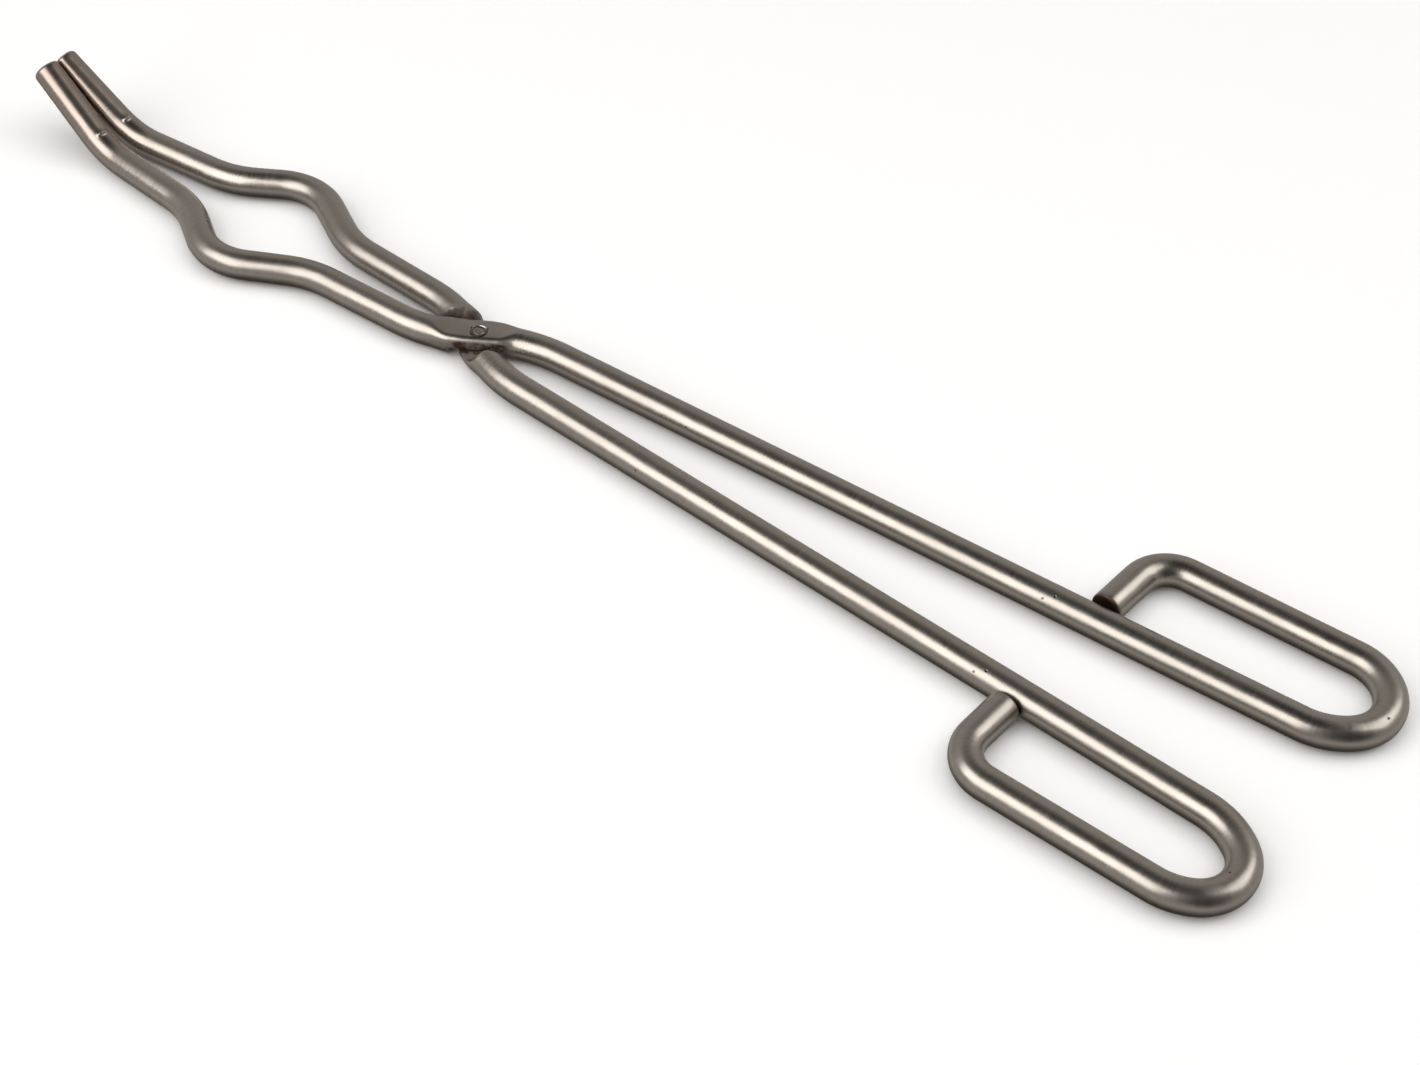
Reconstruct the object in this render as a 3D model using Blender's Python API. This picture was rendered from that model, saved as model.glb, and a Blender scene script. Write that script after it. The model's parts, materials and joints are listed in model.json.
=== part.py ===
"""Crucible tongs: two bent round bars, crossed and riveted through their pressed laps.

Metres, +Z up. +X runs from the finger loops to the jaw tips. The origin lies on the table, under the
middle of the tongs' length; the jaws are closed. The upper arm turns about the rivet's upright axis.
"""

import math

import bmesh
import bpy
from mathutils import Matrix, Vector

# ---- the bar and the frame --------------------------------------------------------------------------
ROD = 0.010                         # diameter of the round bar
R = ROD / 2
GAP = 0.0003                        # clearance between touching pieces
PIVOT = Vector((0.0538, 0.0, R))    # rivet axis, at the height of the bars' centre lines
SIDES = 20                          # facets round the bar
BEND_STEP = math.radians(14)        # longest turn between two rings of a bend

# ---- the jaw's centre line, seen from above and measured from the rivet: x, y, bend radius ----------
CROSSING_ANGLE = math.radians(34.3)  # each arm crosses the tongs' long axis at this angle
CROSSING_X = 0.0020                 # the centre lines cross this far ahead of the rivet
NECK_LEAN = math.radians(2.3)       # the jaw's lean between the neck and the throat
NECK_RADIUS = 0.0500
THROAT = (0.0646, 0.0094, 0.036)    # where the bow round the crucible starts
BOW_PEAK = (0.0945, 0.0257, 0.021)  # the bow's widest point
BOW_END = (0.1198, 0.0097, 0.0345)  # where the bow has closed again
TIP_BEND = (0.1632, 0.0060, 0.0276)  # where the tip turns upwards
TIP_END = (0.1926, 0.0036)          # middle of the tip's end
TIP_RISE = 0.0204                   # height of the tip's end above the bars' centre lines
TIP_ROUNDING = 0.0015               # radius of the tip's end edge
TIP_STEP = 0.0055                   # spacing of the rings along the straight tip

# ---- each arm's handle and finger loop, as bent by hand: lengths in metres, angles in degrees --------
# offset: the handle line's distance from the long axis, carried on to the rivet.
# lean: the handle's angle to the long axis. end: how far from the rivet the loop starts to turn.
# turns: the loop's end as (radius, angle) bends, one after the other. back: its returning side.
# hook: how far the cut end that closes the loop leans from square.
HANDLES = {
    "upper_arm": {"offset": 0.0088, "lean": 2.7, "end": 0.2800, "back": 0.0517, "hook": 4.2,
                  "turns": ((0.0208, 42.4), (0.0146, 75.5), (0.0165, 61.0))},
    "lower_arm": {"offset": 0.0085, "lean": 2.7, "end": 0.2743, "back": 0.0523, "hook": -3.2,
                  "turns": ((0.0232, 39.6), (0.0134, 105.2), (0.0203, 33.5))},
}
SHOULDER_RADIUS = 0.0510            # bend between the lap and the handle
HOOK_RADIUS = 0.0117                # bend at the loop's open corner
HOOK_CHAMFER = 0.0006               # broken edge of the bar's cut end
HOOK_GAP = 0.0004                   # the cut end's rim stops this far from the handle

# ---- the pressed lap at the rivet -------------------------------------------------------------------
# Each stretch is (towards the jaw, towards the handle), measured from the rivet.
LAP_HALF_WIDTH = 0.0058             # the pressed metal spreads sideways
LAP_WIDE = (0.0088, 0.0020)         # the lap has its full width this far from the rivet
WIDTH_RUN_OUT = (0.0072, 0.0110)    # and is as narrow as the bar after this much more
LAP_OUTER_FACE = 0.0041             # height of the face that shows, from the bar's centre line
OUTER_FLAT = (0.0095, 0.0066)       # how far that face is flat
OUTER_RUN_OUT = (0.0090, 0.0062)    # and over what length it rises to the round bar
OUTER_EDGE = 0.0024                 # radius of its edges
INNER_FLAT = (0.0130, 0.0084)       # how far the face that meets the other arm is flat
INNER_RUN_OUT = (0.0020, 0.0030)    # its shoulder towards the jaw is the steeper one
INNER_EDGE = 0.0006
RUN_OUT_STEPS = 5

# ---- the rivet ---------------------------------------------------------------------------------------
RIVET_RADIUS = 0.0020
RIVET_HEAD = 0.0027                 # radius of the head in its countersink
RIVET_CONE = 0.0007                 # depth of the countersink
RIVET_DOME = 0.0003                 # how far each peened head stands proud of its lap
RIVET_SIDES = 24

STAINLESS = (0.60, 0.55, 0.50)
RIVET_STEEL = (0.48, 0.44, 0.40)


# ---- centre lines ------------------------------------------------------------------------------------
def straight(start, end):
    """A straight run: its length, its number of steps and its point and direction at a distance."""
    along = (end - start).normalized()

    def at(distance):
        return start + along * distance, along

    return (end - start).length, 1, at


def bend(start, corner, end, radius):
    """The arc that rounds a corner, as straight() gives it, with its first and last points."""
    back = (start - corner).normalized()
    ahead = (end - corner).normalized()
    turn = math.pi - back.angle(ahead)
    reach = radius * math.tan(turn / 2)
    first = corner + back * reach
    centre = corner + (back + ahead).normalized() * math.hypot(radius, reach)
    spoke = (first - centre).normalized()

    def at(distance):
        angle = distance / radius
        point = centre + radius * (spoke * math.cos(angle) - back * math.sin(angle))
        return point, -spoke * math.sin(angle) - back * math.cos(angle)

    steps = max(2, math.ceil(turn / BEND_STEP))
    return first, corner + ahead * reach, (radius * turn, steps, at)


def rounded_path(corners):
    """Straight runs and bends through corner points given as (point, bend radius)."""
    runs = []
    here = corners[0][0]
    for before, this, after in zip(corners, corners[1:], corners[2:]):
        first, last, arc = bend(before[0], this[0], after[0], this[1])
        if (first - here).length > GAP:
            runs.append(straight(here, first))
        runs.append(arc)
        here = last
    return runs + [straight(here, corners[-1][0])]


def path_at(runs, distance):
    """Point and direction at a distance along the runs."""
    for length, _steps, at in runs:
        if distance <= length:
            return at(distance)
        distance -= length
    length, _steps, at = runs[-1]
    return at(length)


def on_crossing(line, along):
    """Where a line seen from above meets the arm's crossing line, which passes CROSSING_X."""
    slope = math.tan(CROSSING_ANGLE)
    reach = (slope * (line.x - CROSSING_X) - line.y) / (along.y - slope * along.x)
    return line + along * reach


def handle_corners(handle):
    """The handle's corners, from its shoulder beside the lap to the cut end of its loop."""
    lean = math.radians(handle["lean"])
    along = Vector((-math.cos(lean), -math.sin(lean), 0))
    across = Vector((math.sin(lean), -math.cos(lean), 0))
    line = Vector((0, -handle["offset"], 0))
    corners = [(on_crossing(line, along), SHOULDER_RADIUS)]
    here = line + along * (handle["end"] / math.cos(lean))
    heading = along
    for radius, degrees in handle["turns"]:
        angle = math.radians(degrees)
        corner = here + heading * radius * math.tan(angle / 2)
        heading = Matrix.Rotation(angle, 3, "Z") @ heading
        here = corner + heading * radius * math.tan(angle / 2)
        corners.append((corner, radius))
    open_corner = here + heading * (handle["back"] + HOOK_RADIUS)
    hook = math.radians(handle["hook"])
    closing = Vector((math.sin(hook), math.cos(hook), 0))
    facing = closing.dot(across)
    rim_reach = R * math.sqrt(1 - facing * facing)
    open_width = (open_corner - line).dot(across) - R - rim_reach - HOOK_GAP
    cut_end = open_corner - closing * (open_width / facing)
    return corners + [(open_corner, HOOK_RADIUS), (cut_end, 0)]


def jaw_corners():
    """The jaw's corners, from the tip's end to the neck beside the lap."""
    throat = Vector((THROAT[0], THROAT[1], 0))
    neck = on_crossing(throat, Vector((math.cos(NECK_LEAN), math.sin(NECK_LEAN), 0)))
    tip = Vector((TIP_END[0], TIP_END[1], TIP_RISE))
    bends = [TIP_BEND, BOW_END, BOW_PEAK, THROAT, (neck.x, neck.y, NECK_RADIUS)]
    return [(tip, 0)] + [(Vector((x, y, 0)), radius) for x, y, radius in bends]


def arm_path(handle, hand):
    """An arm's runs from tip to cut end. hand is +1 where the jaw is at +Y, -1 for its mirror image."""
    corners = jaw_corners() + handle_corners(handle)
    mirrored = [(Vector((p.x, hand * p.y, p.z)), radius) for p, radius in corners]
    return rounded_path(mirrored)


# ---- cross-sections ----------------------------------------------------------------------------------
def ease(t):
    """A smooth step from 0 to 1."""
    t = min(max(t, 0.0), 1.0)
    return t * t * (3 - 2 * t)


def blend(a, b, t):
    return a + (b - a) * t


def pressed(past_rivet, flat, run_out):
    """How far the bar is pressed, 0 to 1, at a distance past the rivet, towards the handle."""
    if past_rivet < 0:
        return 1 - ease((-past_rivet - flat[0]) / run_out[0])
    return 1 - ease((past_rivet - flat[1]) / run_out[1])


def section(past_rivet, level):
    """Outline (across, up) of the bar at a distance past the rivet. level is +1 for the upper lap."""
    outside = pressed(past_rivet, OUTER_FLAT, OUTER_RUN_OUT)
    inside = pressed(past_rivet, INNER_FLAT, INNER_RUN_OUT)
    half_width = blend(R, LAP_HALF_WIDTH, pressed(past_rivet, LAP_WIDE, WIDTH_RUN_OUT))
    outer = blend(R, LAP_OUTER_FACE, outside)
    inner = blend(-R, GAP / 2, inside)
    outer_edge = blend(R, OUTER_EDGE, outside)
    inner_edge = blend(R, INNER_EDGE, inside)
    facet = 2 * math.pi / SIDES
    outline = []
    for k in range(SIDES):
        angle = (k + 0.5) * facet
        c, s = math.cos(angle), math.sin(angle)
        edge = outer_edge if s > 0 else inner_edge
        middle_x = math.copysign(half_width - edge, c)
        middle_z = outer - edge if s > 0 else inner + edge
        reach = edge / math.cos(facet / 2)
        outline.append((middle_x + reach * c, level * (middle_z + reach * s)))
    return outline


def end_scale(distance, edge):
    """How much of the section is left at a distance from an end with a rounded edge."""
    if distance >= edge:
        return 1.0
    inset = edge - math.sqrt(edge * edge - (edge - distance) ** 2)
    return (R - inset) / R


# ---- solids ------------------------------------------------------------------------------------------
def ring_stations(runs, rivet_at):
    """Distances along the arm at which its rings lie."""
    length = sum(run[0] for run in runs)
    stations = [TIP_ROUNDING * (1 - math.cos(math.radians(a))) for a in (0, 35, 65, 90)]
    stations += [length - HOOK_CHAMFER * (1 - math.cos(math.radians(a))) for a in (0, 60, 90)]
    stations += [TIP_STEP * k for k in range(1, 5)]
    for flat, run_out in ((OUTER_FLAT, OUTER_RUN_OUT), (INNER_FLAT, INNER_RUN_OUT)):
        for k in range(RUN_OUT_STEPS + 1):
            step = k / RUN_OUT_STEPS
            stations += [rivet_at - flat[0] - run_out[0] * step, rivet_at + flat[1] + run_out[1] * step]
    start = 0.0
    for run_length, steps, _at in runs:
        stations += [start + run_length * k / steps for k in range(steps)]
        start += run_length
    kept = []
    for station in sorted(stations):
        if not kept or station - kept[-1] > GAP:
            kept.append(station)
    return kept


def distance_to_rivet(runs):
    """Where along the arm its centre line comes nearest the rivet's axis."""
    length = sum(run[0] for run in runs)
    steps = round(length / GAP)
    return min((length * k / steps for k in range(steps)), key=lambda s: path_at(runs, s)[0].xy.length)


def arm_ring(runs, distance, rivet_at, hand, level):
    """One ring of the arm's surface, as points."""
    point, along = path_at(runs, distance)
    across = Vector((0, 0, 1)).cross(along).normalized()
    up = along.cross(across)
    length = sum(run[0] for run in runs)
    outline = section(distance - rivet_at, level)
    scale = min(end_scale(distance, TIP_ROUNDING), end_scale(length - distance, HOOK_CHAMFER))
    ring = [point + scale * (across * x + up * z) for x, z in outline]
    if point.x > THROAT[0]:
        for corner in ring:
            corner.y = hand * max(hand * corner.y, GAP / 2)
    return ring


def loft(name, rings):
    """A closed mesh through rings of equally many points."""
    bm = bmesh.new()
    loops = [[bm.verts.new(point) for point in ring] for ring in rings]
    count = len(rings[0])
    for one, two in zip(loops, loops[1:]):
        for k in range(count):
            n = (k + 1) % count
            bm.faces.new((one[k], one[n], two[n], two[k]))
    bm.faces.new(loops[0])
    bm.faces.new(loops[-1])
    bmesh.ops.recalc_face_normals(bm, faces=bm.faces)
    mesh = bpy.data.meshes.new(name)
    bm.to_mesh(mesh)
    bm.free()
    mesh.shade_smooth()
    mesh.set_sharp_from_angle(angle=math.radians(35))
    return mesh


def turned(name, profile):
    """A body turned about Z from a profile of (radius, height) points."""
    angles = [2 * math.pi * k / RIVET_SIDES for k in range(RIVET_SIDES)]
    return loft(name, [[Vector((r * math.cos(a), r * math.sin(a), z)) for a in angles]
                       for r, z in profile])


def material(name, colour, roughness):
    made = bpy.data.materials.new(name)
    made.use_nodes = True
    shader = made.node_tree.nodes["Principled BSDF"]
    shader.inputs["Base Color"].default_value = (*colour, 1.0)
    shader.inputs["Roughness"].default_value = roughness
    shader.inputs["Metallic"].default_value = 1.0
    return made


def place(name, mesh, finish=None):
    """An object with its origin on the rivet's axis."""
    made = bpy.data.objects.new(name, mesh)
    bpy.context.scene.collection.objects.link(made)
    made.location = PIVOT
    if finish:
        mesh.materials.append(finish)
    return made


def make_rivet():
    """The rivet: a plain shank with a cone under each domed head."""
    face = LAP_OUTER_FACE
    profile = [(0.35 * RIVET_HEAD, -face - RIVET_DOME), (0.75 * RIVET_HEAD, -face - 0.7 * RIVET_DOME),
               (RIVET_HEAD, -face), (RIVET_RADIUS, -face + RIVET_CONE), (RIVET_RADIUS, face - RIVET_CONE),
               (RIVET_HEAD, face), (0.75 * RIVET_HEAD, face + 0.7 * RIVET_DOME),
               (0.35 * RIVET_HEAD, face + RIVET_DOME)]
    return place("pivot_rivet", turned("pivot_rivet", profile),
                 material("rivet_steel", RIVET_STEEL, 0.42))


def make_rivet_cutter():
    """The hole for the rivet through both laps, larger by the clearance all round."""
    slope = (RIVET_HEAD - RIVET_RADIUS) / RIVET_CONE
    over = 0.001
    face = LAP_OUTER_FACE
    mouth = RIVET_HEAD + GAP + slope * over
    profile = [(mouth, -face - over), (RIVET_RADIUS + GAP, -face + RIVET_CONE),
               (RIVET_RADIUS + GAP, face - RIVET_CONE), (mouth, face + over)]
    cutter = place("rivet_hole", turned("rivet_hole", profile))
    cutter.hide_render = True
    cutter.display_type = "WIRE"
    return cutter


def make_arm(name, hand, level, finish, cutter):
    """One arm. hand: which side its jaw is on. level: whether its lap is the upper or lower one."""
    runs = arm_path(HANDLES[name], hand)
    rivet_at = distance_to_rivet(runs)
    rings = [arm_ring(runs, s, rivet_at, hand, level) for s in ring_stations(runs, rivet_at)]
    arm = place(name, loft(name, rings), finish)
    hole = arm.modifiers.new("rivet_hole", "BOOLEAN")
    hole.operation = "DIFFERENCE"
    hole.solver = "EXACT"
    hole.object = cutter
    return arm


def main():
    for old in list(bpy.data.objects):
        bpy.data.objects.remove(old, do_unlink=True)
    cutter = make_rivet_cutter()
    make_arm("upper_arm", 1, 1, material("upper_stainless", STAINLESS, 0.32), cutter)
    make_arm("lower_arm", -1, -1, material("lower_stainless", STAINLESS, 0.34), cutter)
    make_rivet()


main()
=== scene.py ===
"""The looks of the crucible tongs: fine meshes for the two bars and their rivet, and their metals.

Metres, +Z up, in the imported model's frame. Each fine arm follows the same bends as its CAD node, with
enough rings for true curves, the marks of bending and pressing, and a coordinate that runs along the bar.
"""

import json
import math

import bmesh
import bpy
import numpy as np
from mathutils import Matrix, Vector


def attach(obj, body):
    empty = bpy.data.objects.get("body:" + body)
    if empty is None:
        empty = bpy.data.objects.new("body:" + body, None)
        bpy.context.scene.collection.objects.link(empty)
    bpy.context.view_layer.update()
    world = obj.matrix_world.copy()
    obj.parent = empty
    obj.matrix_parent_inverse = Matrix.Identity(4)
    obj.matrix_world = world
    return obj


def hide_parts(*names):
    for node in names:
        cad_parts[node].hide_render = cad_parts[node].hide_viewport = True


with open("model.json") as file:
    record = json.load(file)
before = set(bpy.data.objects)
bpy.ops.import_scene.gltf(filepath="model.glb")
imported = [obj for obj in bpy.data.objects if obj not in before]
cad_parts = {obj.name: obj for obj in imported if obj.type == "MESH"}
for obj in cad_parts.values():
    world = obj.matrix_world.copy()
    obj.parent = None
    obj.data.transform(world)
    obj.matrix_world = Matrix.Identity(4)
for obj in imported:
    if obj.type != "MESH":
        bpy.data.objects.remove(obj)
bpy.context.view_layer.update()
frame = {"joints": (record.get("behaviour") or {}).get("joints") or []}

# ---- the bar and the frame --------------------------------------------------------------------------
ROD = 0.010                         # diameter of the round bar
R = ROD / 2
GAP = 0.0003                        # clearance between touching pieces
PIVOT = Vector(frame["joints"][0]["pos_m"])
SHORTEST_STRAIGHT = 0.0003          # two bends nearer than this follow each other directly
RIVET_SEARCH_STEP = 0.0003          # how finely the centre line is searched for the rivet

# ---- the jaw's centre line, seen from above and measured from the rivet: x, y, bend radius ----------
CROSSING_ANGLE = math.radians(34.3)
CROSSING_X = 0.0020
NECK_LEAN = math.radians(2.3)
NECK_RADIUS = 0.0500
THROAT = (0.0646, 0.0094, 0.036)
BOW_PEAK = (0.0945, 0.0257, 0.021)
BOW_END = (0.1198, 0.0097, 0.0345)
TIP_BEND = (0.1632, 0.0060, 0.0276)
TIP_END = (0.1926, 0.0036)
TIP_RISE = 0.0204
TIP_ROUNDING = 0.0015

# ---- each arm's handle and finger loop ----------------------------------------------------------------
HANDLES = {
    "upper_arm": {"offset": 0.0088, "lean": 2.7, "end": 0.2800, "back": 0.0517, "hook": 4.2,
                  "turns": ((0.0208, 42.4), (0.0146, 75.5), (0.0165, 61.0))},
    "lower_arm": {"offset": 0.0085, "lean": 2.7, "end": 0.2743, "back": 0.0523, "hook": -3.2,
                  "turns": ((0.0232, 39.6), (0.0134, 105.2), (0.0203, 33.5))},
}
SHOULDER_RADIUS = 0.0510
HOOK_RADIUS = 0.0117
HOOK_ROUNDING = 0.0010
HOOK_GAP = 0.0004

# ---- the pressed lap at the rivet; stretches are (towards the jaw, towards the handle) ---------------
LAP_HALF_WIDTH = 0.0058
LAP_WIDE = (0.0088, 0.0020)
WIDTH_RUN_OUT = (0.0072, 0.0110)
LAP_OUTER_FACE = 0.0041
OUTER_FLAT = (0.0095, 0.0066)
OUTER_RUN_OUT = (0.0090, 0.0062)
OUTER_EDGE = 0.0024
NOTCH_REACH = 0.030                 # the arms can cross only this near the rivet
NOTCH_GAP = 0.0013                  # clearance between an arm's edge and the notch's wall
NOTCH_WALL = 0.0010                 # each arm rises beside the other one over this width
NOTCH_RAMP = 0.0042                 # and more gently where the lower arm's handle comes out
OPENING = 40                        # degrees the jaws can open

# ---- the rivet ---------------------------------------------------------------------------------------
RIVET_RADIUS = 0.0020
RIVET_HEAD = 0.0027
RIVET_CONE = 0.0007
RIVET_WOBBLE = 0.02                 # how far the peened heads are out of round
RIVET_GROOVE = 0.0021               # radius of the groove round each head's raised middle, darkened with painted shade
GROOVE_WIDTH = 0.00042
HEAD_RIM = 0.0024                   # the head is darkened with painted shade outside this radius
RIM_PAINTED_SHADE = 0.7
HOLE_OVERSHOOT = 0.0006             # the hole's cutter goes this far beyond the laps' outer faces


# ---- centre lines ------------------------------------------------------------------------------------
def straight(start, end):
    """A straight run: its length, its bend radius (none) and its point and direction at a distance."""
    along = (end - start).normalized()

    def at(distance):
        return start + along * distance, along

    return (end - start).length, math.inf, at


def bend(start, corner, end, radius):
    """The arc that rounds a corner, as straight() gives it, with its first and last points."""
    back = (start - corner).normalized()
    ahead = (end - corner).normalized()
    turn = math.pi - back.angle(ahead)
    reach = radius * math.tan(turn / 2)
    first = corner + back * reach
    centre = corner + (back + ahead).normalized() * math.hypot(radius, reach)
    spoke = (first - centre).normalized()

    def at(distance):
        angle = distance / radius
        point = centre + radius * (spoke * math.cos(angle) - back * math.sin(angle))
        return point, -spoke * math.sin(angle) - back * math.cos(angle)

    return first, corner + ahead * reach, (radius * turn, radius, at)


def rounded_path(corners):
    """Straight runs and bends through corner points given as (point, bend radius)."""
    runs = []
    here = corners[0][0]
    for before, this, after in zip(corners, corners[1:], corners[2:]):
        first, last, arc = bend(before[0], this[0], after[0], this[1])
        if (first - here).length > SHORTEST_STRAIGHT:
            runs.append(straight(here, first))
        runs.append(arc)
        here = last
    return runs + [straight(here, corners[-1][0])]


def path_at(runs, distance):
    """Point and direction at a distance along the runs."""
    for length, _radius, at in runs:
        if distance <= length:
            return at(distance)
        distance -= length
    length, _radius, at = runs[-1]
    return at(length)


def path_length(runs):
    return sum(run[0] for run in runs)


def on_crossing(line, along):
    """Where a line seen from above meets the arm's crossing line, which passes CROSSING_X."""
    slope = math.tan(CROSSING_ANGLE)
    reach = (slope * (line.x - CROSSING_X) - line.y) / (along.y - slope * along.x)
    return line + along * reach


def handle_corners(handle):
    """The handle's corners, from its shoulder beside the lap to the cut end of its loop."""
    lean = math.radians(handle["lean"])
    along = Vector((-math.cos(lean), -math.sin(lean), 0))
    across = Vector((math.sin(lean), -math.cos(lean), 0))
    line = Vector((0, -handle["offset"], 0))
    corners = [(on_crossing(line, along), SHOULDER_RADIUS)]
    here = line + along * (handle["end"] / math.cos(lean))
    heading = along
    for radius, degrees in handle["turns"]:
        angle = math.radians(degrees)
        corner = here + heading * radius * math.tan(angle / 2)
        heading = Matrix.Rotation(angle, 3, "Z") @ heading
        here = corner + heading * radius * math.tan(angle / 2)
        corners.append((corner, radius))
    open_corner = here + heading * (handle["back"] + HOOK_RADIUS)
    hook = math.radians(handle["hook"])
    closing = Vector((math.sin(hook), math.cos(hook), 0))
    facing = closing.dot(across)
    rim_reach = R * math.sqrt(1 - facing * facing)
    open_width = (open_corner - line).dot(across) - R - rim_reach - HOOK_GAP
    cut_end = open_corner - closing * (open_width / facing)
    return corners + [(open_corner, HOOK_RADIUS), (cut_end, 0)]


def jaw_corners():
    """The jaw's corners, from the tip's end to the neck beside the lap."""
    throat = Vector((THROAT[0], THROAT[1], 0))
    neck = on_crossing(throat, Vector((math.cos(NECK_LEAN), math.sin(NECK_LEAN), 0)))
    tip = Vector((TIP_END[0], TIP_END[1], TIP_RISE))
    bends = [TIP_BEND, BOW_END, BOW_PEAK, THROAT, (neck.x, neck.y, NECK_RADIUS)]
    return [(tip, 0)] + [(Vector((x, y, 0)), radius) for x, y, radius in bends]


def arm_path(handle, hand):
    """An arm's runs from tip to cut end. hand is +1 where the jaw is at +Y, -1 for its mirror image."""
    corners = jaw_corners() + handle_corners(handle)
    mirrored = [(Vector((p.x, hand * p.y, p.z)), radius) for p, radius in corners]
    return rounded_path(mirrored)


# ---- fine meshes -------------------------------------------------------------------------------------
SIDES = 64                          # points round the fine bar
RIVET_SIDES = 96
STRAIGHT_STEP = 0.0025              # longest step between rings on a straight
BEND_STEP = math.radians(2.5)       # and round a bend
FINE_STEP = 0.0004                  # step where the bar is pressed, marked or cut
TIP_EDGE = 0.0014                   # how softly the ground faces of the tips meet the round bar
RIDGE_AT = 0.0310                   # a small burr lies across the top of each tip, this far from its end
RIDGE_HEIGHT = 0.0009
RIDGE_HALF_LENGTH = 0.0020
RIDGE_HALF_WIDTH = 0.0007
PRESSED_REACH = (0.020, 0.016)      # fine rings this far from the rivet, towards the jaw and the handle
SHARP_EDGE = math.radians(40)
CAP_STEPS = 5                       # rings that close each end of a fine body

# ---- rust, painted shade and heat tint stored on the meshes ------------------------------------------
CREVICE_RUST_AND_SHADE_WIDTH = 0.0050              # rust and painted shade beside the crossing fade over this width
CREVICE_RUST_AND_SHADE_HEIGHT = 0.0034             # and reach this high above the laps' meeting faces
CREVICE_RUST_AND_SHADE_FADE = 0.001                # with an upper edge this soft
RING_WIDTH = 0.0005                 # half width of the ring of rust and painted shade round the rivet's head
RING_RUST_AND_SHADE = 0.8
TINT_LENGTH = 0.060                 # the heat tint fades over this much of the tip


def ease(t):
    """A smooth step from 0 to 1, of a number or an array."""
    t = np.clip(t, 0.0, 1.0)
    return t * t * (3 - 2 * t)


def blend(a, b, t):
    return a + (b - a) * t


def soft_max(values, floor, softness):
    """The larger of the values and a floor, with a rounded corner where they cross."""
    near = np.maximum(softness - np.abs(values - floor), 0)
    return np.maximum(values, floor) + near * near / (4 * softness)


def pressed(past_rivet, flat, run_out):
    """How far the bar is pressed, 0 to 1, at a distance past the rivet, towards the handle."""
    if past_rivet < 0:
        return 1 - ease((-past_rivet - flat[0]) / run_out[0])
    return 1 - ease((past_rivet - flat[1]) / run_out[1])


def section(past_rivet, level):
    """Outline (across, up) of the bar at a distance past the rivet, before it is notched for the other
    arm. level is +1 for the upper lap."""
    outside = pressed(past_rivet, OUTER_FLAT, OUTER_RUN_OUT)
    half_width = half_width_at(past_rivet)
    outer = blend(R, LAP_OUTER_FACE, outside)
    outer_edge = blend(R, OUTER_EDGE, outside)
    outline = np.empty((SIDES, 2))
    for k in range(SIDES):
        angle = (k + 0.5) * 2 * math.pi / SIDES
        c, s = math.cos(angle), math.sin(angle)
        edge = outer_edge if s > 0 else R
        middle_x = math.copysign(half_width - edge, c)
        middle_z = outer - edge if s > 0 else 0
        outline[k] = middle_x + edge * c, level * (middle_z + edge * s)
    return outline


def half_width_at(past_rivet):
    return blend(R, LAP_HALF_WIDTH, pressed(past_rivet, LAP_WIDE, WIDTH_RUN_OUT))


def swept_line(node, hand, openings):
    """An arm near the rivet at each opening, as the other arm sees it: plan points and half widths."""
    runs = arm_path(HANDLES[node], hand)
    rivet_at = distance_to_rivet(runs)
    offsets = np.arange(-NOTCH_REACH, NOTCH_REACH, FINE_STEP)
    line = np.array([path_at(runs, rivet_at + offset)[0].xy for offset in offsets])
    widths = np.array([half_width_at(offset) for offset in offsets])
    sweep = []
    for opening in openings:
        c, s = math.cos(math.radians(opening)), hand * math.sin(math.radians(opening))
        sweep.append(np.column_stack([line @ np.array(((c, s), (-s, c))), widths]))
    return np.concatenate(sweep)


def beside(points, sweep):
    """How far each point lies outside the other arm's edge, in plan."""
    apart = np.hypot(points[:, None, 0] - sweep[:, 0], points[:, None, 1] - sweep[:, 1])
    return (apart - sweep[:, 2]).min(axis=1)


def notch(ring, heights, sweep, wall):
    """How far each point of a ring moves up to keep clear of the other arm."""
    clear = ease((beside(ring, sweep) - NOTCH_GAP) / wall)
    return (1 - clear) * np.maximum(GAP / 2 - heights, 0)


def end_scale(distance, edge):
    """How much of the section is left at a distance from an end with a rounded edge."""
    if distance >= edge:
        return 1.0
    inset = edge - math.sqrt(edge * edge - (edge - distance) ** 2)
    return (R - inset) / R


def with_ridge(outline, distance):
    """The outline with the tip's burr raised on its top."""
    along = (distance - RIDGE_AT) / RIDGE_HALF_WIDTH
    across = np.clip(outline[:, 0] / RIDGE_HALF_LENGTH, -1, 1)
    lift = RIDGE_HEIGHT * math.exp(-along * along) * (1 - across ** 2) ** 0.5 * (outline[:, 1] > 0)
    return outline * (1 + lift / R)[:, None]


def distance_to_rivet(runs):
    """Where along the arm its centre line comes nearest the rivet's axis."""
    length = path_length(runs)
    steps = round(length / RIVET_SEARCH_STEP)
    return min((length * k / steps for k in range(steps)), key=lambda s: path_at(runs, s)[0].xy.length)


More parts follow.
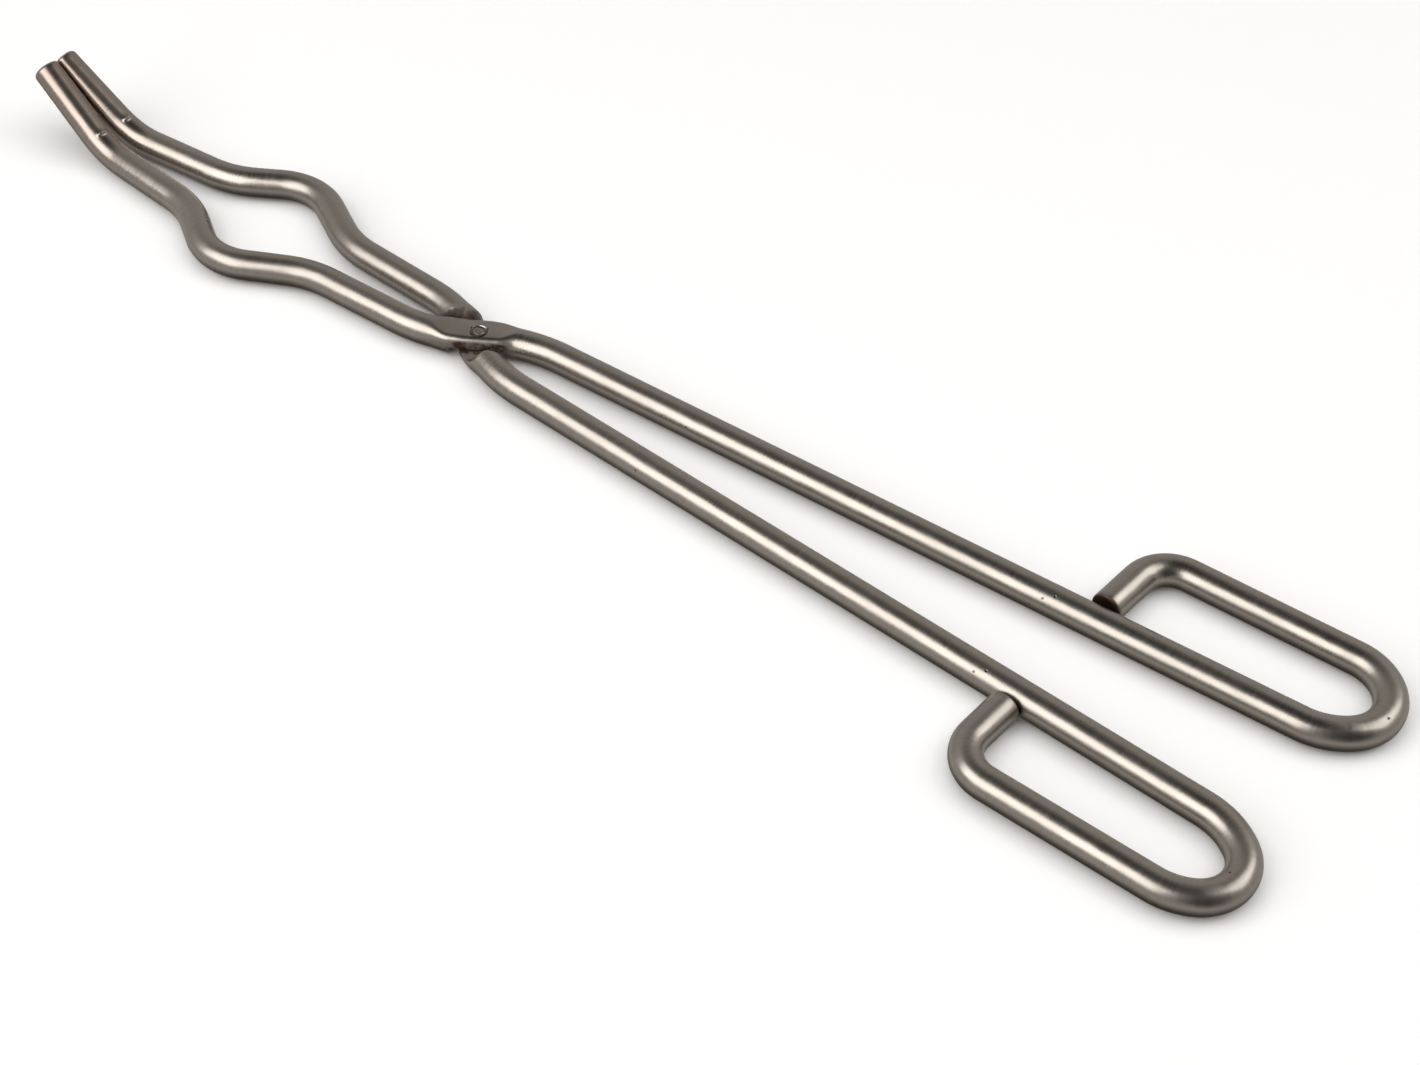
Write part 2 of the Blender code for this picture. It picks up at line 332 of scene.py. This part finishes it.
def ring_stations(runs, rivet_at):
    """Distances along the arm at which its rings lie."""
    length = path_length(runs)
    stations = [TIP_ROUNDING * (1 - math.cos(math.radians(a))) for a in range(0, 91, 10)]
    stations += [length - HOOK_ROUNDING * (1 - math.cos(math.radians(a))) for a in range(0, 91, 10)]
    start = 0.0
    for run_length, radius, _at in runs:
        steps = math.ceil(run_length / min(STRAIGHT_STEP, radius * BEND_STEP))
        stations += [start + run_length * k / steps for k in range(steps)]
        start += run_length
    stations += list(np.arange(rivet_at - PRESSED_REACH[0], rivet_at + PRESSED_REACH[1], FINE_STEP))
    stations += list(np.arange(RIDGE_AT - 3 * RIDGE_HALF_WIDTH, RIDGE_AT + 3 * RIDGE_HALF_WIDTH,
                               RIDGE_HALF_WIDTH / 4))
    kept = []
    for station in sorted(stations):
        if not kept or station - kept[-1] > FINE_STEP / 5:
            kept.append(station)
    return kept


def arm_rings(runs, rivet_at, hand, level, sweep):
    """The arm's surface as rings of points, and each point's place on the straight bar."""
    length = path_length(runs)
    rings = []
    places = []
    for distance in ring_stations(runs, rivet_at):
        point, along = path_at(runs, distance)
        across = Vector((0, 0, 1)).cross(along).normalized()
        up = along.cross(across)
        outline = with_ridge(section(distance - rivet_at, level), distance)
        outline *= min(end_scale(distance, TIP_ROUNDING), end_scale(length - distance, HOOK_ROUNDING))
        ring = np.array(point) + outline[:, :1] * np.array(across) + outline[:, 1:] * np.array(up)
        if abs(distance - rivet_at) < NOTCH_REACH:
            wall = NOTCH_RAMP if level < 0 and distance > rivet_at else NOTCH_WALL
            lift = level * notch(ring, level * outline[:, 1], sweep, wall)
            ring[:, 2] += lift
            outline[:, 1] += lift
        if point.x > THROAT[0]:
            ring[:, 1] = hand * soft_max(hand * ring[:, 1], GAP / 2, TIP_EDGE)
        rings.append(ring)
        places.append(np.column_stack([np.full(SIDES, distance), outline]))
    return np.array(rings) + np.array(PIVOT), np.array(places)


def end_cap(ring, place, steps):
    """Rings that close an end, shrinking to its middle."""
    scales = [k / steps for k in range(steps - 1, 0, -1)]
    middle = ring.mean(axis=0)
    rings = [middle + (ring - middle) * scale for scale in scales]
    places = [place * np.array((1, scale, scale)) for scale in scales]
    return rings, places


def tube(name, rings, places):
    """A closed smooth mesh through rings of points, with each point's place on the bar as "bar"."""
    count = rings.shape[1]
    first, first_places = end_cap(rings[0], places[0], CAP_STEPS)
    last, last_places = end_cap(rings[-1], places[-1], CAP_STEPS)
    rings = np.concatenate([first[::-1], rings, last])
    places = np.concatenate([first_places[::-1], places, last_places])
    total = len(rings)
    points = np.concatenate([rings.reshape(-1, 3), [rings[0].mean(axis=0), rings[-1].mean(axis=0)]])
    ends = [(places[0, 0, 0], 0.0, 0.0), (places[-1, 0, 0], 0.0, 0.0)]
    places = np.concatenate([places.reshape(-1, 3), ends])
    faces = []
    for i in range(total - 1):
        for k in range(count):
            n = (k + 1) % count
            faces.append((i * count + k, i * count + n, (i + 1) * count + n, (i + 1) * count + k))
    for k in range(count):
        n = (k + 1) % count
        faces.append((total * count, n, k))
        faces.append((total * count + 1, (total - 1) * count + k, (total - 1) * count + n))
    mesh = bpy.data.meshes.new(name)
    mesh.from_pydata(points.tolist(), [], faces)
    mesh.attributes.new("bar", "FLOAT_VECTOR", "POINT").data.foreach_set("vector", places.ravel())
    bm = bmesh.new()
    bm.from_mesh(mesh)
    bmesh.ops.recalc_face_normals(bm, faces=bm.faces)
    bm.to_mesh(mesh)
    bm.free()
    mesh.shade_smooth()
    mesh.set_sharp_from_angle(angle=SHARP_EDGE)
    return mesh


def turned(name, profile, wobble):
    """A body turned about the rivet's axis from (radius, height) points, out of true by the wobble."""
    angles = np.arange(RIVET_SIDES) * 2 * math.pi / RIVET_SIDES
    rings = []
    for radius, height in profile:
        r = radius * (1 + wobble * np.cos(3 * angles + 1))
        z = height * (1 + wobble / 2 * np.cos(2 * angles + 0.6))
        rings.append(np.column_stack([r * np.cos(angles), r * np.sin(angles), z]))
    rings = np.array(rings)
    return tube(name, rings + np.array(PIVOT), rings[:, :, (2, 0, 1)])


def link(name, data):
    """A new object in the scene."""
    made = bpy.data.objects.new(name, data)
    bpy.context.scene.collection.objects.link(made)
    return made


def add(name, mesh, finish):
    """A new object with its metal."""
    made = link(name, mesh)
    mesh.materials.append(finish)
    return made


def read_vectors(mesh, name):
    """A vector stored on each point of a mesh, or the points themselves."""
    values = np.empty(len(mesh.vertices) * 3)
    if name == "position":
        mesh.vertices.foreach_get("co", values)
    else:
        mesh.attributes[name].data.foreach_get("vector", values)
    return values.reshape(-1, 3)


def write_marks(mesh, rust_and_shade, tint, cut):
    """Store at each point as "marks" how much rust and painted shade, heat tint, and painted shade of the
    cut end the metal has.
    """
    marks = np.clip(np.column_stack([rust_and_shade, tint, cut]), 0, 1)
    mesh.attributes.new("marks", "FLOAT_VECTOR", "POINT").data.foreach_set("vector", marks.ravel())


def drill(arm, hole, point, along, rivet_at):
    """Cut the rivet's hole and give the points near it their place on the bar. The bar's middle at the
    rivet is at the point, runs along the direction and is rivet_at from the tip."""
    cut = arm.modifiers.new("rivet_hole", "BOOLEAN")
    cut.operation = "DIFFERENCE"
    cut.solver = "EXACT"
    cut.object = hole
    bpy.context.view_layer.update()
    whole = bpy.data.meshes.new_from_object(arm.evaluated_get(bpy.context.evaluated_depsgraph_get()))
    arm.modifiers.clear()
    arm.data = whole
    bm = bmesh.new()
    bm.from_mesh(whole)
    bmesh.ops.triangulate(bm, faces=[face for face in bm.faces if len(face.verts) > 4])
    bm.to_mesh(whole)
    bm.free()
    points = read_vectors(whole, "position") - np.array(PIVOT)
    places = read_vectors(whole, "bar")
    near = np.hypot(points[:, 0], points[:, 1]) < RIVET_HEAD + 2 * GAP
    across = np.array(Vector((0, 0, 1)).cross(along))
    offsets = points[near] - np.array(point)
    places[near] = np.column_stack([rivet_at + offsets @ np.array(along), offsets @ across, offsets[:, 2]])
    whole.attributes["bar"].data.foreach_set("vector", places.ravel())
    whole.set_sharp_from_angle(angle=SHARP_EDGE)


def mark_arm(arm, other, hand, level, rivet_at, length):
    """Put rust and painted shade in the crevice beside the crossing and the ring round the rivet, tint the
    tip, put painted shade on the cut end.
    """
    places = read_vectors(arm.data, "bar")
    points = read_vectors(arm.data, "position") - np.array(PIVOT)
    near = np.hypot(points[:, 0], points[:, 1]) < NOTCH_REACH
    # rust and painted shade beside the other arm's edge, up to a height above the laps' meeting faces
    crevice_rust_and_shade = np.zeros(len(points))
    crevice_rust_and_shade[near] = np.clip(1 - beside(points[near], swept_line(other, -hand, (0,))) / CREVICE_RUST_AND_SHADE_WIDTH, 0, 1)
    crevice_rust_and_shade *= np.clip((CREVICE_RUST_AND_SHADE_HEIGHT - level * points[:, 2]) / CREVICE_RUST_AND_SHADE_FADE, 0, 1)
    from_rivet = np.hypot(places[:, 0] - rivet_at, places[:, 1])
    # rust and painted shade in a ring round the rivet's head
    ring = np.exp(-((from_rivet - RIVET_HEAD) / RING_WIDTH) ** 2)
    tint = 1 - places[:, 0] / TINT_LENGTH
    # painted shade on the hook's cut end
    cut = (places[:, 0] - length + 1.2 * HOOK_ROUNDING) / HOOK_ROUNDING
    write_marks(arm.data, np.maximum(crevice_rust_and_shade, RING_RUST_AND_SHADE * ring), tint, cut)


def make_arm(node, piece, other, hand, level, finish, hole):
    """One fine arm. hand is +1 where the jaw is at +Y, level is +1 for the upper lap."""
    runs = arm_path(HANDLES[node], hand)
    rivet_at = distance_to_rivet(runs)
    sweep = swept_line(other, -hand, np.arange(0, OPENING + 1, 2.5))
    arm = add(piece, tube(piece, *arm_rings(runs, rivet_at, hand, level, sweep)), finish)
    point, along = path_at(runs, rivet_at)
    drill(arm, hole, point, along, rivet_at)
    mark_arm(arm, other, hand, level, rivet_at, path_length(runs))
    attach(arm, node)
    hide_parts(node)


def make_hole():
    """The cutter for the rivet's hole, larger by the clearance all round."""
    mouth = RIVET_HEAD + GAP + HOLE_OVERSHOOT * (RIVET_HEAD - RIVET_RADIUS) / RIVET_CONE
    shank = RIVET_RADIUS + GAP
    top = [(shank, LAP_OUTER_FACE - RIVET_CONE), (mouth, LAP_OUTER_FACE + HOLE_OVERSHOOT)]
    profile = [(radius, -height) for radius, height in reversed(top)] + top
    return link("rivet_hole", turned("rivet_hole", profile, 0))


def make_rivet(finish):
    """The rivet: each head is peened into its countersink, with a groove round a raised middle."""
    face = LAP_OUTER_FACE
    # radius and height above the lap's outer face, from the head's middle outwards
    head = [(0.0005, 0.00020), (0.0010, 0.00019), (0.00135, 0.00015), (0.00160, 0.00006),
            (0.00176, -0.00010), (0.00190, -0.00022), (0.00212, -0.00022), (0.00230, -0.00012),
            (0.00244, -0.00004), (0.00256, -0.00006), (0.00261, -0.00010), (0.00258, -0.00018)]
    half = [(r, face + z) for r, z in head] + [(RIVET_RADIUS, face - RIVET_CONE)]
    profile = [(r, -z) for r, z in half] + half[::-1]
    rivet = add("pivot_rivet_fine", turned("pivot_rivet_fine", profile, RIVET_WOBBLE), finish)
    places = read_vectors(rivet.data, "bar")
    out = np.hypot(places[:, 1], places[:, 2])
    # painted shade in the groove round the raised middle and on the rim, in the rust colour
    groove_shade = np.exp(-((out - RIVET_GROOVE) / GROOVE_WIDTH) ** 4)
    rim_shade = RIM_PAINTED_SHADE * (out > HEAD_RIM)
    write_marks(rivet.data, np.maximum(groove_shade, rim_shade), 0 * out, 0 * out)
    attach(rivet, "lower_arm")
    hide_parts("pivot_rivet")


# ---- metals ------------------------------------------------------------------------------------------
# rust, and painted shade in the crevices at the crossing, round the rivet and in the rivet head's groove
# and rim
RUST_AND_PAINTED_SHADE = (0.050, 0.024, 0.014, 1.0)
HEAT_TINT = (0.50, 0.37, 0.30, 1.0)
# painted shade on the hooks' cut ends
CUT_END_PAINTED_SHADE = (0.085, 0.048, 0.036, 1.0)
PIT = (0.10, 0.08, 0.07, 1.0)
GROOVE_DIRT = (0.30, 0.26, 0.23, 1.0)
# cells per metre along the bar and round it, detail
GRINDING = (1200, 120, 3)
WAVINESS = (70, 110, 2)
PATCHES = (38, 150, 3)
MOTTLE = (420, 420, 4)
PIT_CELLS = 330                     # cells per metre that may hold a pit
BUMP_DISTANCE = 0.000026


def add_node(tree, kind, inputs, **settings):
    """A shader node with its settings; inputs are values, or sockets to link from."""
    made = tree.nodes.new(kind)
    for name, value in settings.items():
        setattr(made, name, value)
    for socket, value in inputs.items():
        if isinstance(value, bpy.types.NodeSocket):
            tree.links.new(value, made.inputs[socket])
        else:
            made.inputs[socket].default_value = value
    return made


def noise(tree, place, along, around, detail):
    """Noise with so many cells per metre along the bar and around it."""
    scaled = add_node(tree, "ShaderNodeVectorMath", {0: place, 1: (along, around, around)},
                      operation="MULTIPLY")
    made = add_node(tree, "ShaderNodeTexNoise", {"Vector": scaled.outputs[0], "Scale": 1.0,
                                                 "Detail": detail, "Roughness": 0.6})
    return made.outputs[0]


def remap(tree, value, low, high, to_low, to_high):
    made = add_node(tree, "ShaderNodeMapRange", {"Value": value, "From Min": low, "From Max": high,
                                                 "To Min": to_low, "To Max": to_high})
    return made.outputs[0]


def calculate(tree, operation, a, b):
    return add_node(tree, "ShaderNodeMath", {0: a, 1: b}, operation=operation).outputs[0]


def mix_colours(tree, factor, a, b):
    made = add_node(tree, "ShaderNodeMix", {"Factor": factor, 6: a, 7: b}, data_type="RGBA")
    return made.outputs[2]


def worn_metal(name, colour, polish):
    """Ground metal: fine marks round the bar, uneven polish, pits, and the rust, painted shade and heat
    tint stored on the mesh.
    """
    made = bpy.data.materials.new(name)
    made.use_nodes = True
    tree = made.node_tree
    shader = tree.nodes["Principled BSDF"]
    place = add_node(tree, "ShaderNodeAttribute", {}, attribute_name="bar").outputs["Vector"]
    stored = add_node(tree, "ShaderNodeAttribute", {}, attribute_name="marks").outputs["Vector"]
    marks = add_node(tree, "ShaderNodeSeparateXYZ", {0: stored}).outputs
    grinding = noise(tree, place, *GRINDING)
    waviness = noise(tree, place, *WAVINESS)
    patches = noise(tree, place, *PATCHES)
    mottle = noise(tree, place, *MOTTLE)
    cells = add_node(tree, "ShaderNodeVectorMath", {0: place, 1: (PIT_CELLS, PIT_CELLS, PIT_CELLS)},
                     operation="MULTIPLY")
    dots = add_node(tree, "ShaderNodeTexVoronoi", {"Vector": cells.outputs[0], "Scale": 1.0})
    chosen = add_node(tree, "ShaderNodeSeparateColor", {0: dots.outputs["Color"]}).outputs[0]
    pits = calculate(tree, "MULTIPLY", remap(tree, dots.outputs["Distance"], 0.08, 0.16, 1, 0),
                     remap(tree, chosen, 0.02, 0.04, 1, 0))
    # rust and painted shade from the stored marks, broken up by the mottle
    rust_and_shade = calculate(tree, "MULTIPLY", remap(tree, marks[0], 0.1, 0.75, 0, 1),
                      remap(tree, mottle, 0.36, 0.54, 0.65, 1))
    shade = remap(tree, patches, 0.3, 0.7, 0.0, 1.0)
    dull = (*(0.90 * c for c in colour), 1.0)
    base = mix_colours(tree, shade, dull, (*colour, 1.0))
    base = mix_colours(tree, calculate(tree, "MULTIPLY", marks[1], 0.55), base, HEAT_TINT)
    base = mix_colours(tree, remap(tree, grinding, 0.35, 0.65, 0.14, 0.0), base, GROOVE_DIRT)
    # painted shade on the cut ends
    base = mix_colours(tree, marks[2], base, CUT_END_PAINTED_SHADE)
    base = mix_colours(tree, rust_and_shade, base, RUST_AND_PAINTED_SHADE)
    base = mix_colours(tree, pits, base, PIT)
    tree.links.new(base, shader.inputs["Base Color"])
    rough = calculate(tree, "ADD", remap(tree, patches, 0.3, 0.7, *polish),
                      remap(tree, grinding, 0.3, 0.7, -0.02, 0.03))
    rough = calculate(tree, "ADD", rough, calculate(tree, "MULTIPLY", rust_and_shade, 0.3))
    rough = calculate(tree, "ADD", rough, calculate(tree, "MULTIPLY", marks[2], 0.25))
    tree.links.new(rough, shader.inputs["Roughness"])
    tree.links.new(remap(tree, rust_and_shade, 0, 1, 1.0, 0.5), shader.inputs["Metallic"])
    height = calculate(tree, "ADD", grinding, calculate(tree, "MULTIPLY", waviness, 7.0))
    height = calculate(tree, "ADD", height, calculate(tree, "MULTIPLY", mottle, 0.5))
    height = calculate(tree, "SUBTRACT", height, calculate(tree, "MULTIPLY", pits, 3.0))
    bump = add_node(tree, "ShaderNodeBump",
                    {"Height": height, "Strength": 1.0, "Distance": BUMP_DISTANCE})
    tree.links.new(bump.outputs[0], shader.inputs["Normal"])
    return made


# ---- stage: floor, lights and camera -----------------------------------------------------------------
FLOOR_HALF = 6.0
CAMERA_LENS = 62.085                # millimetres, as is the sensor's width
CAMERA_SENSOR = 36.0
CAMERA_FROM_PIVOT = Vector((-0.4053, 0.4378, 0.5073))
CAMERA_RIGHT = Vector((-0.7942124, -0.6067125, 0.0335654))
CAMERA_DOWN = Vector((-0.4470330, 0.5459850, -0.7085633))
CAMERA_AHEAD = Vector((0.4115680, -0.5777546, -0.7048485))
DARK_CORNER = (146, 27)             # azimuth and elevation of the studio's dark corner
# elevation in degrees, brightness
STUDIO = ((-90, 0.04), (-62, 0.08), (-42, 0.22), (-25, 0.42), (-5, 0.32), (40, 0.31), (60, 0.12),
          (72, 0.01), (90, 0.0))


def direction(azimuth, elevation):
    """A unit vector from angles in degrees; azimuth 0 is +X and 90 is +Y."""
    a, e = math.radians(azimuth), math.radians(elevation)
    return Vector((math.cos(a) * math.cos(e), math.sin(a) * math.cos(e), math.sin(e)))


def make_floor():
    mesh = bpy.data.meshes.new("floor")
    corners = [(x * FLOOR_HALF, y * FLOOR_HALF, 0) for x, y in ((-1, -1), (1, -1), (1, 1), (-1, 1))]
    mesh.from_pydata(corners, [], [(0, 1, 2, 3)])
    floor = link("floor", mesh)
    paint = bpy.data.materials.new("floor_paint")
    paint.use_nodes = True
    shader = paint.node_tree.nodes["Principled BSDF"]
    shader.inputs["Base Color"].default_value = (0.90, 0.90, 0.90, 1.0)
    shader.inputs["Roughness"].default_value = 0.9
    shader.inputs["Specular IOR Level"].default_value = 0.1
    mesh.materials.append(paint)
    floor.visible_glossy = False


def softbox(name, azimuth, elevation, distance, size, radiance, colour, seen=True):
    """A rectangular light facing the frame's origin; radiance is how bright its face looks."""
    light = bpy.data.lights.new(name, "AREA")
    light.shape = "RECTANGLE"
    light.size, light.size_y = size
    light.energy = radiance * math.pi * size[0] * size[1]
    light.color = colour
    lamp = link(name, light)
    towards = direction(azimuth, elevation)
    lamp.location = towards * distance
    lamp.rotation_euler = towards.to_track_quat("Z", "Y").to_euler()
    lamp.visible_glossy = seen


def make_world():
    """The studio round the tongs: dark overhead, grey at the horizon, a dark corner at one side."""
    world = bpy.data.worlds.new("studio")
    bpy.context.scene.world = world
    world.use_nodes = True
    tree = world.node_tree
    place = add_node(tree, "ShaderNodeTexCoord", {}).outputs["Generated"]
    rise = add_node(tree, "ShaderNodeSeparateXYZ", {0: place}).outputs["Z"]
    ramp = add_node(tree, "ShaderNodeValToRGB", {0: remap(tree, rise, -1.0, 1.0, 0.0, 1.0)})
    while len(ramp.color_ramp.elements) < len(STUDIO):
        ramp.color_ramp.elements.new(0.5)
    for element, (elevation, value) in zip(ramp.color_ramp.elements, STUDIO):
        warmth = 1 - min(value / 0.24, 1)
        element.position = (math.sin(math.radians(elevation)) + 1) / 2
        element.color = (value, value * (0.96 - 0.06 * warmth), value * (0.92 - 0.15 * warmth), 1.0)
    towards = add_node(tree, "ShaderNodeVectorMath", {0: place, 1: direction(*DARK_CORNER)},
                       operation="DOT_PRODUCT").outputs["Value"]
    corner = remap(tree, towards, 0.76, 0.93, 1.0, 0.12)
    lit = add_node(tree, "ShaderNodeVectorMath", {0: ramp.outputs[0], "Scale": corner}, operation="SCALE")
    tree.links.new(lit.outputs[0], tree.nodes["Background"].inputs["Color"])


def make_camera():
    camera = bpy.data.cameras.new("camera")
    camera.lens = CAMERA_LENS
    camera.sensor_width = CAMERA_SENSOR
    seen = link("camera", camera)
    turn = Matrix((CAMERA_RIGHT, -CAMERA_DOWN, -CAMERA_AHEAD)).transposed().to_4x4()
    seen.matrix_world = Matrix.Translation(PIVOT + CAMERA_FROM_PIVOT) @ turn
    bpy.context.scene.camera = seen


make_floor()
make_world()
softbox("key", 66, 38, 1.5, (1.6, 1.2), 1.85, (1.0, 0.99, 0.97))
softbox("fill", -142, 42, 1.5, (1.1, 0.9), 1.4, (1.0, 0.99, 0.97))
softbox("overhead", 0, 90, 2.0, (3.0, 3.0), 1.5, (1.0, 1.0, 1.0), seen=False)
make_camera()

bar_steel = worn_metal("bar_steel", (0.60, 0.553, 0.503), (0.34, 0.26))
rivet_hole = make_hole()
make_arm("upper_arm", "upper_bar", "lower_arm", 1, 1, bar_steel, rivet_hole)
make_arm("lower_arm", "lower_bar", "upper_arm", -1, -1, bar_steel, rivet_hole)
bpy.data.objects.remove(rivet_hole, do_unlink=True)
make_rivet(worn_metal("rivet_metal", (0.50, 0.455, 0.41), (0.42, 0.34)))

bpy.context.scene.view_settings.view_transform = "Standard"
